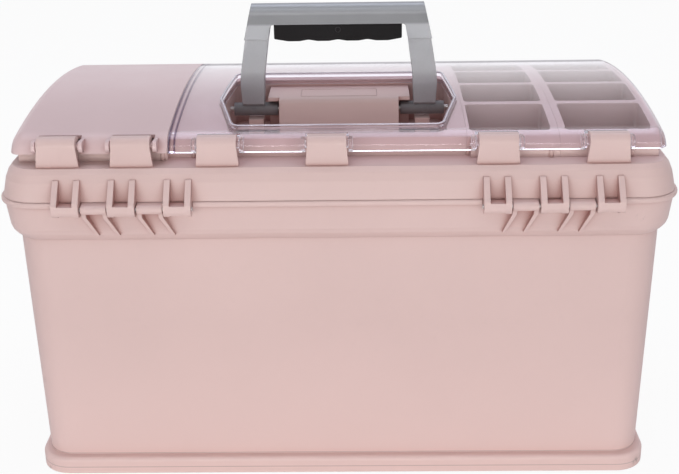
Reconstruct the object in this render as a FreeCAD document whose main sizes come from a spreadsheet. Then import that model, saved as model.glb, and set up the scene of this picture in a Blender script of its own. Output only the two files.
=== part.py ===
import FreeCAD, Part
import math
import os
import Sketcher

# Three-drawer organizer: a cabinet with three drawers and a bulk-storage well,
# a main lid that carries lidded compartments, two top lids and a folding handle.
# Millimetres. +Z up, drawers face -Y, origin under the middle of the case.

SIZES = {
    # The tub's half width and half depth at its top, and the height of the case's rim
    "case_x": 240.7,
    "case_y": 130.2,
    "rim_z": 235.0,
    # Case: the tub tapers towards the foot and flares into a skirt under the rim
    "wall": 3.4,
    "tub_top_round": 24.5,
    "tub_taper_x": 1.7,
    "tub_taper_y": 5.9,
    "tub_low_round": 22.4,
    "foot_reach_x": 3.3,
    "foot_reach_y": 1.3,
    "foot_round": 24.6,
    "foot_rise": 13.5,
    "foot_edge": 3.5,
    "foot_rim": 7.0,
    "foot_hollow": 12.8,
    "skirt_drop": 32.5,
    "flare_drop": 23.0,
    "flare_reach_x": 5.9,
    "flare_reach_y": 6.4,
    "skirt_reach_x": 7.9,
    "skirt_reach_y": 8.4,
    "skirt_round": 27.6,
    "bead_reach": 2.4,
    "bead_round": 30.0,
    "bead_edge": 1.9,
    "bead": 4.6,
    # Drawer bay and bulk storage
    "bay_floor": 3.2,
    "bay_wall_x": 3.6,
    "bay_wall_y": 3.7,
    "bay_front_wall": 7.3,
    "door_post_x": 22.4,
    "storage_depth": 57.0,
    "storage_floor": 3.6,
    "storage_wall_x": 3.9,
    "storage_wall_y": 3.8,
    "storage_round": 21.0,
    "rebate_depth": 19.0,
    "rebate_wall_x": 4.0,
    "rebate_wall_y": 4.2,
    "rebate_round": 25.0,
    "shelf": 3.0,
    "shelf_rest": 4.0,
    "stop_lip": 4.0,
    "stop_lip_inset": 2.0,
    # Drawers
    "slide_gap": 0.6,
    "drawer_gap": 2.4,
    "drawer_wall": 2.2,
    "drawer_headroom": 8.8,
    "drawer_travel": 186.0,
    "front_wall": 3.5,
    "stop_tab": 6.6,
    "stop_play": 1.0,
    "pull_x": 46.0,
    "pull_reach": 13.0,
    "divider": 1.6,
    # Main lid
    "lid_gap": 0.3,
    "lid_inset_x": 2.2,
    "lid_inset_y": 1.3,
    "lid_low_round": 28.0,
    "lid_mid_rise": 13.5,
    "lid_mid_lean_x": 3.2,
    "lid_mid_lean_y": 3.3,
    "lid_mid_round": 24.0,
    "lid_high_rise": 19.4,
    "lid_high_lean_x": 5.6,
    "lid_high_lean_y": 5.7,
    "lid_high_round": 22.4,
    "ledge_rise": 23.0,
    "ledge_lean_x": 8.5,
    "ledge_lean_y": 8.7,
    "ledge_round": 20.0,
    "ledge": 2.6,
    # Inserts that the top lids cover
    "tray_inset_x": 5.0,
    "tray_inset_y": 18.0,
    "tray_step_y": 7.0,
    "tray_drop": 5.0,
    "tray_rise": 5.6,
    "tray_floor": 2.4,
    "tray_wall": 3.0,
    "cup_wall": 2.5,
    "cup_bar_x": 163.3,
    "cup_bar": 11.0,
    "cup_end_wall": 3.3,
    "cup_front_wall": 10.5,
    "cup_back_wall": 6.5,
    "cup_bar_y": 6.0,
    "cup_round": 3.0,
    "drawer_round": 2.5,
    "box_wall": 4.5,
    "box_edge": 1.1,
    "seam": 0.1,
    # Top lids: a low vault with round shoulders
    "crown_rise": 52.0,
    "crown_radius": 618.0,
    "vault_inset_y": 10.0,
    "shoulder": 20.0,
    "top_reach_x": 0.5,
    "top_gap": 7.5,
    "top_round": 9.0,
    "top_wall": 2.4,
    "end_step": 2.6,
    "end_drop": 3.5,
    "split_x": 124.0,
    "split_gap": 0.5,
    "edge_rib": 1.8,
    "edge_rib_x": 4.6,
    # Snap hinges of the top lids, placed from the split and from the lids' ends
    "rod_rise": 14.0,
    "rod": 2.6,
    "rod_play": 0.4,
    "hook": 2.8,
    "hook_low": 15.8,
    "hook_high": 14.2,
    # The solid lid's two hooks, as shares of the way from the split to the lid's end
    "solid_hook_first": 0.217466,
    "solid_hook_second": 0.680651,
    # The clear lid's hooks, in millimetres from the split, from each other and from the end
    "clear_hook_split": 37.1,
    "clear_hook_second": 116.7,
    "clear_hook_third": 124.0,
    "clear_hook_end": 44.6,
    "notch_play": 1.5,
    "notch_depth": 12.0,
    "lug": 3.0,
    "lug_round": 3.6,
    # Handle opening in the clear lid and the well under it
    "gate_front_y": 27.0,
    "gate_front_step": 6.0,
    "gate_side_y": 46.0,
    "gate_side_play": 10.4,
    "gate_back_play": 11.1,
    "gate_back_step": 13.0,
    "gate_round": 6.0,
    "gate_lip": 2.2,
    "gate_lip_rise": 1.2,
    "gate_flange": 8.0,
    "well_play": 2.8,
    "well_wall": 2.7,
    "well_depth": 18.9,
    "well_round": 3.5,
    "bridge_rise": 11.1,
    "bridge_gap": 3.0,
    "bridge_plate": 3.0,
    "bridge_plate_y": 7.0,
    "scoop_gap": 1.9,
    "scoop_top_y": 13.0,
    "scoop_low_y": 21.0,
    # Handle
    "pivot_rise": 29.9,
    "handle_reach": 86.9,
    "barrel": 5.4,
    "barrel_inner": 10.3,
    "barrel_outer": 6.4,
    "pivot_pin": 2.2,
    "pin_play": 0.06,
    "pin_seat": 4.0,
    "arm_y": 6.4,
    "arm_out_x": 79.6,
    "arm_x": 19.0,
    "arm_bow": 11.6,
    "arm_grip_step": 6.3,
    "bar_front_y": 6.5,
    "bar_back_y": 9.5,
    "bar_round": 7.6,
    "bar_height": 15.8,
    "bar_step": 27.8,
    "grip_play": 3.3,
    "grip_y": 7.6,
    "grip": 13.6,
    # Rear hinge of the main lid
    "axis_reach": 4.0,
    "axis_drop": 3.6,
    "hinge_pin": 1.6,
    "hinge_first_x": 115.0,
    "hinge_pitch": 40.5,
    "rib_pair": 15.4,
    "rib": 4.4,
    "rib_round": 5.4,
    "rib_rise": 16.0,
    "lid_knuckle": 3.8,
    "case_knuckle": 3.4,
    "knuckle_gap": 1.1,
    "brace": 3.2,
    "brace_lean": 7.0,
    "brace_bend": 6.5,
    "brace_drop": 26.5,
    # Front latches
    "latch_x": 118.0,
    "latch_half": 17.0,
    "latch_reach": 4.6,
    "latch_rise": 14.0,
    "latch_barrel": 3.4,
    "latch_pin": 1.5,
    "latch_plate": 3.2,
    "latch_drop": 19.0,
    "latch_play": 0.8,
    "ear": 3.6,
}


class Size:
    """A length that carries its value and the sheet expression that drives it."""

    def __init__(self, value, text):
        self.value = float(value)
        self.text = text

    def __add__(self, other):
        other = as_size(other)
        return Size(self.value + other.value, "(%s + %s)" % (self.text, other.text))

    def __sub__(self, other):
        other = as_size(other)
        return Size(self.value - other.value, "(%s - %s)" % (self.text, other.text))

    def __mul__(self, other):
        other = as_size(other)
        return Size(self.value * other.value, "(%s * %s)" % (self.text, other.text))

    def __truediv__(self, other):
        other = as_size(other)
        return Size(self.value / other.value, "(%s / %s)" % (self.text, other.text))

    def __radd__(self, other):
        return as_size(other) + self

    def __rsub__(self, other):
        return as_size(other) - self

    def __rmul__(self, other):
        return as_size(other) * self

    def __neg__(self):
        return Size(-self.value, "(0 - %s)" % self.text)


def as_size(number):
    if isinstance(number, Size):
        return number
    return Size(number, "%.6f" % number)


class Dims:
    """The sheet's aliases as Size objects."""


doc = FreeCAD.newDocument("Organizer")
sheet = doc.addObject("Spreadsheet::Sheet", "Sizes")
d = Dims()
for row, (alias, number) in enumerate(SIZES.items(), start=1):
    sheet.set("A%d" % row, alias)
    sheet.set("B%d" % row, str(number))
    sheet.setAlias("B%d" % row, alias)
    setattr(d, alias, Size(number, "Sizes." + alias))
doc.recompute()

# Places that follow the sizes: half widths, half depths and heights
d.tub_top_x = d.case_x
d.tub_top_y = d.case_y
d.tub_low_x = d.case_x - d.tub_taper_x
d.tub_low_y = d.case_y - d.tub_taper_y
d.foot_x = d.case_x + d.foot_reach_x
d.foot_y = d.case_y + d.foot_reach_y
d.skirt_low_z = d.rim_z - d.skirt_drop
d.skirt_mid_z = d.rim_z - d.flare_drop
d.skirt_top_x = d.case_x + d.skirt_reach_x
d.skirt_back_y = d.case_y + d.skirt_reach_y
d.bead_z = d.rim_z - d.bead
d.bead_x = d.skirt_top_x + d.bead_reach
d.bead_y = d.skirt_back_y + d.bead_reach
d.bay_floor_z = d.foot_hollow + d.bay_floor
d.bay_x = d.tub_low_x - d.bay_wall_x
d.bay_back_y = d.tub_low_y - d.bay_wall_y
d.bay_front_y = d.tub_low_y - d.bay_front_wall
d.doorway_x = d.bay_x - d.door_post_x
d.storage_floor_z = d.rim_z - d.storage_depth
d.bay_top_z = d.storage_floor_z - d.storage_floor
d.storage_x = d.case_x - d.storage_wall_x
d.storage_y = d.case_y - d.storage_wall_y
d.rebate_z = d.rim_z - d.rebate_depth
d.rebate_x = d.skirt_top_x - d.rebate_wall_x
d.rebate_y = d.skirt_back_y - d.rebate_wall_y
d.stop_lip_y = d.bay_front_y - d.stop_lip_inset
d.stop_tab_y = d.drawer_travel + d.stop_play - d.stop_lip_y
d.lid_low_x = d.bead_x - d.lid_inset_x
d.lid_low_y = d.bead_y - d.lid_inset_y
d.lid_mid_z = d.rim_z + d.lid_mid_rise
d.lid_mid_x = d.lid_low_x - d.lid_mid_lean_x
d.lid_mid_y = d.lid_low_y - d.lid_mid_lean_y
d.lid_high_z = d.rim_z + d.lid_high_rise
d.lid_high_x = d.lid_low_x - d.lid_high_lean_x
d.lid_high_y = d.lid_low_y - d.lid_high_lean_y
d.ledge_z = d.rim_z + d.ledge_rise
d.ledge_x = d.lid_low_x - d.ledge_lean_x
d.ledge_y = d.lid_low_y - d.ledge_lean_y
d.tray_x = d.ledge_x - d.tray_inset_x
d.tray_y = d.ledge_y - d.tray_inset_y
d.tray_mid_y = d.tray_y - d.tray_step_y
d.tray_floor_z = d.rim_z + d.tray_rise
d.crown_z = d.rim_z + d.crown_rise
d.vault_y = d.ledge_y - d.vault_inset_y
d.top_x = d.ledge_x + d.top_reach_x
d.top_low_z = d.ledge_z + d.top_gap
d.rod_y = d.vault_y
d.rod_z = d.ledge_z + d.rod_rise
d.notch_y = d.vault_y - d.notch_depth
d.pivot_z = d.rim_z + d.pivot_rise
d.arm_in_x = d.arm_out_x - d.arm_x
d.arm_top_x = d.arm_out_x - d.arm_bow
d.arm_grip_x = d.arm_in_x - d.arm_grip_step
d.bar_top_z = d.pivot_z + d.handle_reach
d.bar_low_z = d.bar_top_z - d.bar_height
d.step_z = d.bar_top_z - d.bar_step
d.grip_x = d.arm_grip_x - d.grip_play
d.grip_low_z = d.bar_low_z - d.grip
d.barrel_in_x = d.arm_in_x - d.barrel_inner
d.barrel_out_x = d.arm_out_x + d.barrel_outer
d.gate_side_x = d.arm_out_x + d.gate_side_play
d.gate_front_x = d.gate_side_x - d.gate_front_step
d.gate_back_x = d.gate_side_x - d.gate_back_step
d.gate_back_y = d.handle_reach + d.gate_back_play
d.well_floor_z = d.pivot_z - d.well_depth
d.bridge_z = d.pivot_z + d.bridge_rise
d.bridge_x = d.arm_in_x - d.bridge_gap
d.scoop_x = d.barrel_in_x - d.scoop_gap
d.cup_edge_x = d.gate_side_x + d.well_play + d.well_wall
d.cup_in_x = d.cup_edge_x + d.cup_wall
d.cup_out_x = d.tray_x - d.cup_end_wall
d.cup_front_y = d.tray_y - d.cup_front_wall
d.cup_pitch = (d.cup_front_y + d.tray_mid_y - d.cup_back_wall) / 4
d.box_in_x = d.split_x + d.box_wall
d.box_edge_x = d.split_x + d.box_edge
d.axis_y = d.bead_y + d.axis_reach
d.axis_z = d.rim_z - d.axis_drop
d.rib_top_z = d.rim_z + d.rib_rise
d.brace_low_z = d.rim_z - d.brace_drop
d.latch_axis_y = d.bead_y + d.latch_reach
d.latch_axis_z = d.rim_z + d.latch_rise
d.latch_low_z = d.rim_z - d.latch_drop

X_AXIS = FreeCAD.Vector(1, 0, 0)
Z_AXIS = FreeCAD.Vector(0, 0, 1)


# Sketch helpers

def new_body(label):
    body = doc.addObject("PartDesign::Body", label)
    body.Label = label
    return body


def new_sketch(body, plane, offset=0):
    """A sketch on one of the body's own planes: 'XY' looks along +Z, 'YZ' along +X, 'XZ' along -Y."""
    sketch = body.newObject("Sketcher::SketchObject", body.Label + "_outline")
    support = [f for f in body.Origin.OriginFeatures if f.Role == plane + "_Plane"][0]
    sketch.AttachmentSupport = (support, [""])
    sketch.MapMode = "FlatFace"
    offset = as_size(offset)
    sketch.AttachmentOffset = FreeCAD.Placement(Z_AXIS * offset.value, FreeCAD.Rotation())
    sketch.setExpression(".AttachmentOffset.Base.z", offset.text)
    return sketch


def bind(sketch, constraint, size):
    index = sketch.addConstraint(constraint)
    sketch.setExpression("Constraints[%d]" % index, size.text)


def pin(sketch, geometry, point, x=None, y=None):
    """Fix one coordinate or both of a sketch point, counted from the sketch's origin."""
    for kind, size in (("DistanceX", x), ("DistanceY", y)):
        if size is not None:
            size = as_size(size)
            bind(sketch, Sketcher.Constraint(kind, -1, 1, geometry, point, size.value), size)


def circle(sketch, x, y, radius):
    x, y, radius = as_size(x), as_size(y), as_size(radius)
    centre = FreeCAD.Vector(x.value, y.value, 0)
    index = sketch.addGeometry(Part.Circle(centre, Z_AXIS, radius.value))
    pin(sketch, index, 3, x, y)
    bind(sketch, Sketcher.Constraint("Radius", index, radius.value), radius)


def corner_arc(before, here, after, radius):
    """Tangent points and arc that round the corner 'here' between two straight sides."""
    incoming = (here - before).normalize()
    outgoing = (after - here).normalize()
    turn = incoming.cross(outgoing).z
    half = incoming.getAngle(outgoing) / 2
    back = radius * math.tan(half)
    start = here - incoming * back
    end = here + outgoing * back
    side = 1 if turn > 0 else -1
    centre = start + FreeCAD.Vector(-incoming.y, incoming.x, 0) * (radius * side)
    first, last = (start, end) if turn > 0 else (end, start)
    angles = [math.atan2(p.y - centre.y, p.x - centre.x) for p in (first, last)]
    arc = Part.ArcOfCircle(Part.Circle(centre, Z_AXIS, radius), angles[0], angles[1])
    return start, end, arc, turn > 0


def outline(sketch, corners):
    """Closed outline of straight sides; a corner is (x, y) or (x, y, rounding radius)."""
    count = len(corners)
    sizes = [[as_size(value) for value in corner] for corner in corners]
    points = [FreeCAD.Vector(c[0].value, c[1].value, 0) for c in sizes]
    rounds = []
    for i, corner in enumerate(sizes):
        if len(corner) == 3:
            rounds.append(corner_arc(points[i - 1], points[i], points[(i + 1) % count],
                                     corner[2].value))
        else:
            rounds.append(None)
    sides = []
    for i in range(count):
        start = rounds[i][1] if rounds[i] else points[i]
        after = (i + 1) % count
        end = rounds[after][0] if rounds[after] else points[after]
        sides.append(sketch.addGeometry(Part.LineSegment(start, end)))
    for i, corner in enumerate(sizes):
        before, after = sides[i - 1], sides[i]
        if not rounds[i]:
            sketch.addConstraint(Sketcher.Constraint("Coincident", before, 2, after, 1))
            pin(sketch, after, 1, corner[0], corner[1])
            continue
        arc = sketch.addGeometry(rounds[i][2])
        ends = (1, 2) if rounds[i][3] else (2, 1)
        sketch.addConstraint(Sketcher.Constraint("Tangent", before, 2, arc, ends[0]))
        sketch.addConstraint(Sketcher.Constraint("Tangent", after, 1, arc, ends[1]))
        bind(sketch, Sketcher.Constraint("Radius", arc, corner[2].value), corner[2])
        apex = sketch.addGeometry(Part.Point(points[i]), True)
        pin(sketch, apex, 1, corner[0], corner[1])
        sketch.addConstraint(Sketcher.Constraint("PointOnObject", apex, 1, before))
        sketch.addConstraint(Sketcher.Constraint("PointOnObject", apex, 1, after))


def box_outline(sketch, x0, x1, y0, y1, radius=None):
    corners = [(x0, y0), (x1, y0), (x1, y1), (x0, y1)]
    if radius is not None:
        corners = [corner + (radius,) for corner in corners]
    outline(sketch, corners)


def plate_outline(sketch, half_x, half_y, radius):
    box_outline(sketch, -half_x, half_x, -half_y, half_y, radius)


def vault_outline(sketch, half, drop, shoulder, low_z):
    """Closed section of a vault: flat base at low_z, round shoulders and the lids' common crown."""
    radius = d.crown_radius - drop
    centre_z = d.crown_z - d.crown_radius
    reach = radius.value - shoulder.value
    side_y = half.value - shoulder.value
    side_z = centre_z.value + math.sqrt(reach ** 2 - side_y ** 2)
    meet = math.atan2(side_z - centre_z.value, side_y)
    low = math.asin(max(low_z.value - side_z, 0) / shoulder.value)
    foot = side_y + shoulder.value * math.cos(low)
    foot_z = max(side_z, low_z.value)
    crown = sketch.addGeometry(Part.ArcOfCircle(
        Part.Circle(FreeCAD.Vector(0, centre_z.value, 0), Z_AXIS, radius.value),
        meet, math.pi - meet))
    right = sketch.addGeometry(Part.ArcOfCircle(
        Part.Circle(FreeCAD.Vector(side_y, side_z, 0), Z_AXIS, shoulder.value), low, meet))
    left = sketch.addGeometry(Part.ArcOfCircle(
        Part.Circle(FreeCAD.Vector(-side_y, side_z, 0), Z_AXIS, shoulder.value),
        math.pi - meet, math.pi - low))
    base = sketch.addGeometry(Part.LineSegment(
        FreeCAD.Vector(-foot, low_z.value, 0), FreeCAD.Vector(foot, low_z.value, 0)))
    pin(sketch, crown, 3, 0, centre_z)
    bind(sketch, Sketcher.Constraint("Radius", crown, radius.value), radius)
    sketch.addConstraint(Sketcher.Constraint("Tangent", right, 2, crown, 1))
    sketch.addConstraint(Sketcher.Constraint("Tangent", crown, 2, left, 1))
    for arc, side in ((right, half - shoulder), (left, shoulder - half)):
        bind(sketch, Sketcher.Constraint("Radius", arc, shoulder.value), shoulder)
        pin(sketch, arc, 3, side)
    ends = [(left, 2), (right, 1)]
    if side_z > low_z.value:
        for index, (x, arc, arc_end) in enumerate(((-foot, left, 2), (foot, right, 1))):
            wall = sketch.addGeometry(Part.LineSegment(
                FreeCAD.Vector(x, low_z.value, 0), FreeCAD.Vector(x, foot_z, 0)))
            sketch.addConstraint(Sketcher.Constraint("Tangent", wall, 2, arc, arc_end))
            sketch.addConstraint(Sketcher.Constraint("Vertical", wall))
            ends[index] = (wall, 1)
    sketch.addConstraint(Sketcher.Constraint("Coincident", base, 1, *ends[0]))
    sketch.addConstraint(Sketcher.Constraint("Coincident", base, 2, *ends[1]))
    sketch.addConstraint(Sketcher.Constraint("Horizontal", base))
    pin(sketch, base, 1, None, low_z)


def crown_outline(sketch, rise, y0, y1, flat_z):
    """Region between the level flat_z and the vault's crown moved up by rise."""
    y0, y1, flat_z = as_size(y0), as_size(y1), as_size(flat_z)
    radius = d.crown_radius + rise
    centre_z = d.crown_z - d.crown_radius
    tops = [centre_z.value + math.sqrt(radius.value ** 2 - y.value ** 2) for y in (y0, y1)]
    angles = [math.atan2(z - centre_z.value, y.value) for z, y in zip(tops, (y0, y1))]
    arc = sketch.addGeometry(Part.ArcOfCircle(
        Part.Circle(FreeCAD.Vector(0, centre_z.value, 0), Z_AXIS, radius.value),
        angles[1], angles[0]))
    low = [FreeCAD.Vector(y.value, flat_z.value, 0) for y in (y0, y1)]
    high = [FreeCAD.Vector(y.value, z, 0) for y, z in zip((y0, y1), tops)]
    left = sketch.addGeometry(Part.LineSegment(high[0], low[0]))
    base = sketch.addGeometry(Part.LineSegment(low[0], low[1]))
    right = sketch.addGeometry(Part.LineSegment(low[1], high[1]))
    pin(sketch, arc, 3, 0, centre_z)
    bind(sketch, Sketcher.Constraint("Radius", arc, radius.value), radius)
    sketch.addConstraint(Sketcher.Constraint("Coincident", arc, 2, left, 1))
    sketch.addConstraint(Sketcher.Constraint("Coincident", left, 2, base, 1))
    sketch.addConstraint(Sketcher.Constraint("Coincident", base, 2, right, 1))
    sketch.addConstraint(Sketcher.Constraint("Coincident", right, 2, arc, 1))
    pin(sketch, base, 1, y0, flat_z)
    pin(sketch, base, 2, y1, flat_z)
    pin(sketch, arc, 2, y0)
    pin(sketch, arc, 1, y1)


# Feature helpers

def volume(body):
    return body.Shape.Volume if body.Shape and not body.Shape.isNull() else 0.0


def extrude(body, kind, sketch, length, reverse=False, both=False):
    """Pad or pocket a sketch and make sure that it changed the body."""
    doc.recompute()
    before = volume(body)
    feature = body.newObject("PartDesign::" + kind, body.Label + "_" + kind.lower())
    feature.Profile = sketch
    length = as_size(length)
    feature.Length = length.value
    feature.setExpression("Length", length.text)
    feature.Reversed = reverse
    if both:
        feature.SideType = "Symmetric"
    doc.recompute()
    change = volume(body) - before
    if (kind == "Pad" and change <= 0) or (kind == "Pocket" and change >= 0):
        raise RuntimeError("%s in %s changed nothing" % (kind, body.Label))
    return feature


def pad(body, sketch, length, reverse=False, both=False):
    return extrude(body, "Pad", sketch, length, reverse, both)


def pocket(body, sketch, length, reverse=False, both=False):
    return extrude(body, "Pocket", sketch, length, reverse, both)


def loft(body, sections, cut=False, ruled=False):
    """Loft through rounded rectangles given as (z, half_x, half_y, radius)."""
    sketches = []
    for z, half_x, half_y, radius in sections:
        sketch = new_sketch(body, "XY", z)
        plate_outline(sketch, half_x, half_y, radius)
        sketches.append(sketch)
    doc.recompute()
    before = volume(body)
    kind = "Subtractive" if cut else "Additive"
    feature = body.newObject("PartDesign::%sLoft" % kind, body.Label + "_loft")
    feature.Profile = sketches[0]
    feature.Sections = sketches[1:]
    feature.Ruled = ruled
    doc.recompute()
    if abs(volume(body) - before) < 1:
        raise RuntimeError("loft in %s changed nothing" % body.Label)
    return feature


def round_edges(body, radius, test):
    """Fillet the edges of the body's last feature whose middle passes the test."""
    base = body.Tip
    names = []
    for index, edge in enumerate(base.Shape.Edges, start=1):
        middle = edge.valueAt((edge.FirstParameter + edge.LastParameter) / 2)
        if test(edge, middle):
            names.append("Edge%d" % index)
    if not names:
        raise RuntimeError("no edge to round in " + body.Label)
    feature = body.newObject("PartDesign::Fillet", body.Label + "_round")
    feature.Base = (base, names)
    radius = as_size(radius)
    feature.Radius = radius.value
    feature.setExpression("Radius", radius.text)
    doc.recompute()
    return feature


def near(a, b, tolerance=0.05):
    return abs(a - as_size(b).value) < tolerance


def cylinder_x(body, y, z, radius, x0, x1, cut=False):
    """A round bar or bore along X between x0 and x1."""
    sketch = new_sketch(body, "YZ", x0)
    circle(sketch, y, z, radius)
    if cut:
        return pocket(body, sketch, as_size(x1) - x0, reverse=True)
    return pad(body, sketch, as_size(x1) - x0)


def slab_x(body, corners, x0, x1, cut=False):
    """A side profile (y, z) carried along X from x0 to x1."""
    sketch = new_sketch(body, "YZ", x0)
    outline(sketch, corners)
    if cut:
        return pocket(body, sketch, as_size(x1) - x0, reverse=True)
    return pad(body, sketch, as_size(x1) - x0)


def block(body, x0, x1, y0, y1, z0, z1, radius=None, cut=False):
    sketch = new_sketch(body, "XY", z0)
    box_outline(sketch, x0, x1, y0, y1, radius)
    if cut:
        return pocket(body, sketch, as_size(z1) - z0, reverse=True)
    return pad(body, sketch, as_size(z1) - z0)


# Places that several pieces share

def hinge_pairs():
    """Centre of each pair of hinge ribs on the main lid, both sides."""
    return [side * (d.hinge_first_x + d.hinge_pitch * i) for side in (1, -1) for i in range(3)]


def knuckle_places():
    """Centre of each knuckle of the case, between two pairs of ribs."""
    return [side * (d.hinge_first_x + d.hinge_pitch * (i + 0.5))
            for side in (1, -1) for i in range(2)]


KNUCKLE_HALF = d.hinge_pitch / 2 - d.rib_pair / 2 - d.rib / 2 - d.knuckle_gap

# Height and reach of the skirt's flare, as shares of the whole
FLARE = ((0.0, 0.05), (0.3, 0.5), (0.62, 0.82), (1.0, 1.0))

BAY_ROUND = d.tub_low_round - d.wall - 0.2

SOLID_HOOKS = (d.split_x + (d.top_x - d.split_x) * d.solid_hook_second,
               d.split_x + (d.top_x - d.split_x) * d.solid_hook_first)
CLEAR_HOOKS = (d.split_x - d.clear_hook_split, d.split_x - d.clear_hook_second,
               d.split_x - d.clear_hook_second - d.clear_hook_third,
               d.clear_hook_end - d.top_x)
SIDES = (("left", 1), ("right", -1))
LEVELS = ("lower", "middle", "upper")
BAY_PITCH = (d.bay_top_z - d.bay_floor_z + d.shelf) / 3


def case_front(z):
    """Distance of the tub's front wall from the middle, at the height z."""
    slope = (d.tub_top_y - d.tub_low_y) / (d.skirt_low_z - d.foot_rise)
    return d.tub_low_y + slope * (z - d.foot_rise)


def gate_corners(grow):
    """Six-sided outline of the handle opening, grown all round."""
    side = [(d.gate_front_x + grow, -(d.gate_front_y + grow)),
            (d.gate_side_x + grow, d.gate_side_y),
            (d.gate_back_x + grow, d.gate_back_y + grow)]
    rounding = d.gate_round + grow
    right = [(x, y, rounding) for x, y in side]
    left = [(-x, y, rounding) for x, y in reversed(side)]
    return right + left


# Case

def make_base_cabinet():
    body = new_body("base_cabinet")
    loft(body, [(d.foot_rise, d.tub_low_x, d.tub_low_y, d.tub_low_round),
                (d.skirt_low_z, d.tub_top_x, d.tub_top_y, d.tub_top_round)], ruled=True)
    foot = new_sketch(body, "XY", 0)
    plate_outline(foot, d.foot_x, d.foot_y, d.foot_round)
    pad(body, foot, d.foot_rise)
    round_edges(body, d.foot_edge,
                lambda edge, p: near(p.z, d.foot_rise) and abs(p.y) > d.tub_low_y.value + 3
                or near(p.z, d.foot_rise) and abs(p.x) > d.tub_low_x.value + 2)
    flare_x = d.flare_reach_x
    flare_y = d.flare_reach_y
    rise = d.skirt_mid_z - d.skirt_low_z
    sections = [(d.skirt_low_z + rise * up, d.tub_top_x + flare_x * out, d.tub_top_y + flare_y * out,
                 d.tub_top_round + 2 * out) for up, out in FLARE]
    sections.append((d.bead_z, d.skirt_top_x, d.skirt_back_y, d.skirt_round))
    loft(body, sections, ruled=True)
    bead = new_sketch(body, "XY", d.bead_z)
    plate_outline(bead, d.bead_x, d.bead_y, d.bead_round)
    pad(body, bead, d.rim_z - d.bead_z)
    round_edges(body, d.bead_edge,
                lambda edge, p: (near(p.z, d.bead_z) or near(p.z, d.rim_z))
                and (abs(p.x) > d.skirt_top_x.value + 1 or abs(p.y) > d.skirt_back_y.value + 1
                     or edge.Length < 60 and near(math.hypot(
                         abs(p.x) - (d.bead_x - d.bead_round).value,
                         abs(p.y) - (d.bead_y - d.bead_round).value), d.bead_round)))
    # Bulk storage with a rebate under the rim
    block(body, -d.storage_x, d.storage_x, -d.storage_y, d.storage_y,
          d.storage_floor_z, d.rim_z, d.storage_round, cut=True)
    block(body, -d.rebate_x, d.rebate_x, -d.rebate_y, d.rebate_y,
          d.rebate_z, d.rim_z, d.rebate_round, cut=True)
    # Drawer bay, its doorway and the hollow under the floor
    block(body, -d.bay_x, d.bay_x, -d.bay_front_y, d.bay_back_y,
          d.bay_floor_z, d.bay_top_z, BAY_ROUND, cut=True)
    block(body, -d.doorway_x, d.doorway_x, -(d.tub_top_y + 5), -(d.bay_front_y - 5),
          d.bay_floor_z, d.bay_top_z, cut=True)
    block(body, d.foot_rim - d.foot_x, d.foot_x - d.foot_rim, d.foot_rim - d.foot_y,
          d.foot_y - d.foot_rim, 0, d.foot_hollow, d.foot_round - d.foot_rim, cut=True)
    # Rests for the two shelves and the lip that stops the upper drawer
    for side in (1, -1):
        for level in (1, 2):
            z = d.bay_floor_z + BAY_PITCH * level - d.shelf
            inner = side * (d.bay_x - d.shelf_rest)
            outer = side * (d.bay_x + 1)
            x0, x1 = (inner, outer) if side > 0 else (outer, inner)
            block(body, x0, x1, -(d.bay_front_y - 10), d.bay_back_y - 10, z - d.shelf, z)
    block(body, -(d.doorway_x - 4), d.doorway_x - 4, -(d.stop_lip_y + 3), -d.stop_lip_y,
          d.bay_top_z - d.stop_lip, d.bay_top_z + 1)
    # Rear hinge: knuckles, leaning braces and gaps in the bead for the lid's ribs
    for x in knuckle_places():
        slab_x(body, [(d.skirt_back_y - 1.5, d.axis_z - d.case_knuckle),
                      (d.axis_y + d.case_knuckle, d.axis_z - d.case_knuckle, d.case_knuckle - 0.02),
                      (d.axis_y + d.case_knuckle, d.axis_z + d.case_knuckle, d.case_knuckle - 0.02),
                      (d.skirt_back_y - 1.5, d.axis_z + d.case_knuckle)],
               x - KNUCKLE_HALF, x + KNUCKLE_HALF)
    braces = new_sketch(body, "XZ", -(d.axis_y + 1.5))
    for x in knuckle_places():
        lean = d.brace_lean if x.value < 0 else -d.brace_lean
        for start in (x - KNUCKLE_HALF, x + KNUCKLE_HALF - d.brace):
            bend_z = d.axis_z - d.brace_bend
            outline(braces, [(start, d.axis_z - 1), (start, bend_z),
                             (start + lean, d.brace_low_z),
                             (start + lean + d.brace * 0.7, d.brace_low_z),
                             (start + d.brace, bend_z), (start + d.brace, d.axis_z - 1)])
    pad(body, braces, d.axis_y + 1.5 - d.skirt_back_y + 4)
    trim = new_sketch(body, "YZ", 0)
    outline(trim, [(d.skirt_back_y - 1.2, d.brace_low_z - 1), (d.axis_y + 9, d.brace_low_z - 1),
                   (d.axis_y + 9, d.axis_z - d.case_knuckle),
                   (d.axis_y + 1, d.axis_z - d.case_knuckle)])
    pocket(body, trim, 2 * d.bead_x, both=True)
    gaps = new_sketch(body, "XY", d.bead_z)
    for x in hinge_pairs():
        half = d.rib_pair / 2 + d.rib / 2 + d.knuckle_gap / 2
        box_outline(gaps, x - half, x + half, d.skirt_back_y, d.bead_y + 2)
    pocket(body, gaps, d.rim_z - d.bead_z, reverse=True)
    bores = new_sketch(body, "YZ", 0)
    circle(bores, d.axis_y, d.axis_z, d.hinge_pin + 0.02)
    pocket(body, bores, 2 * d.bead_x, both=True)
    return body


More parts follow.
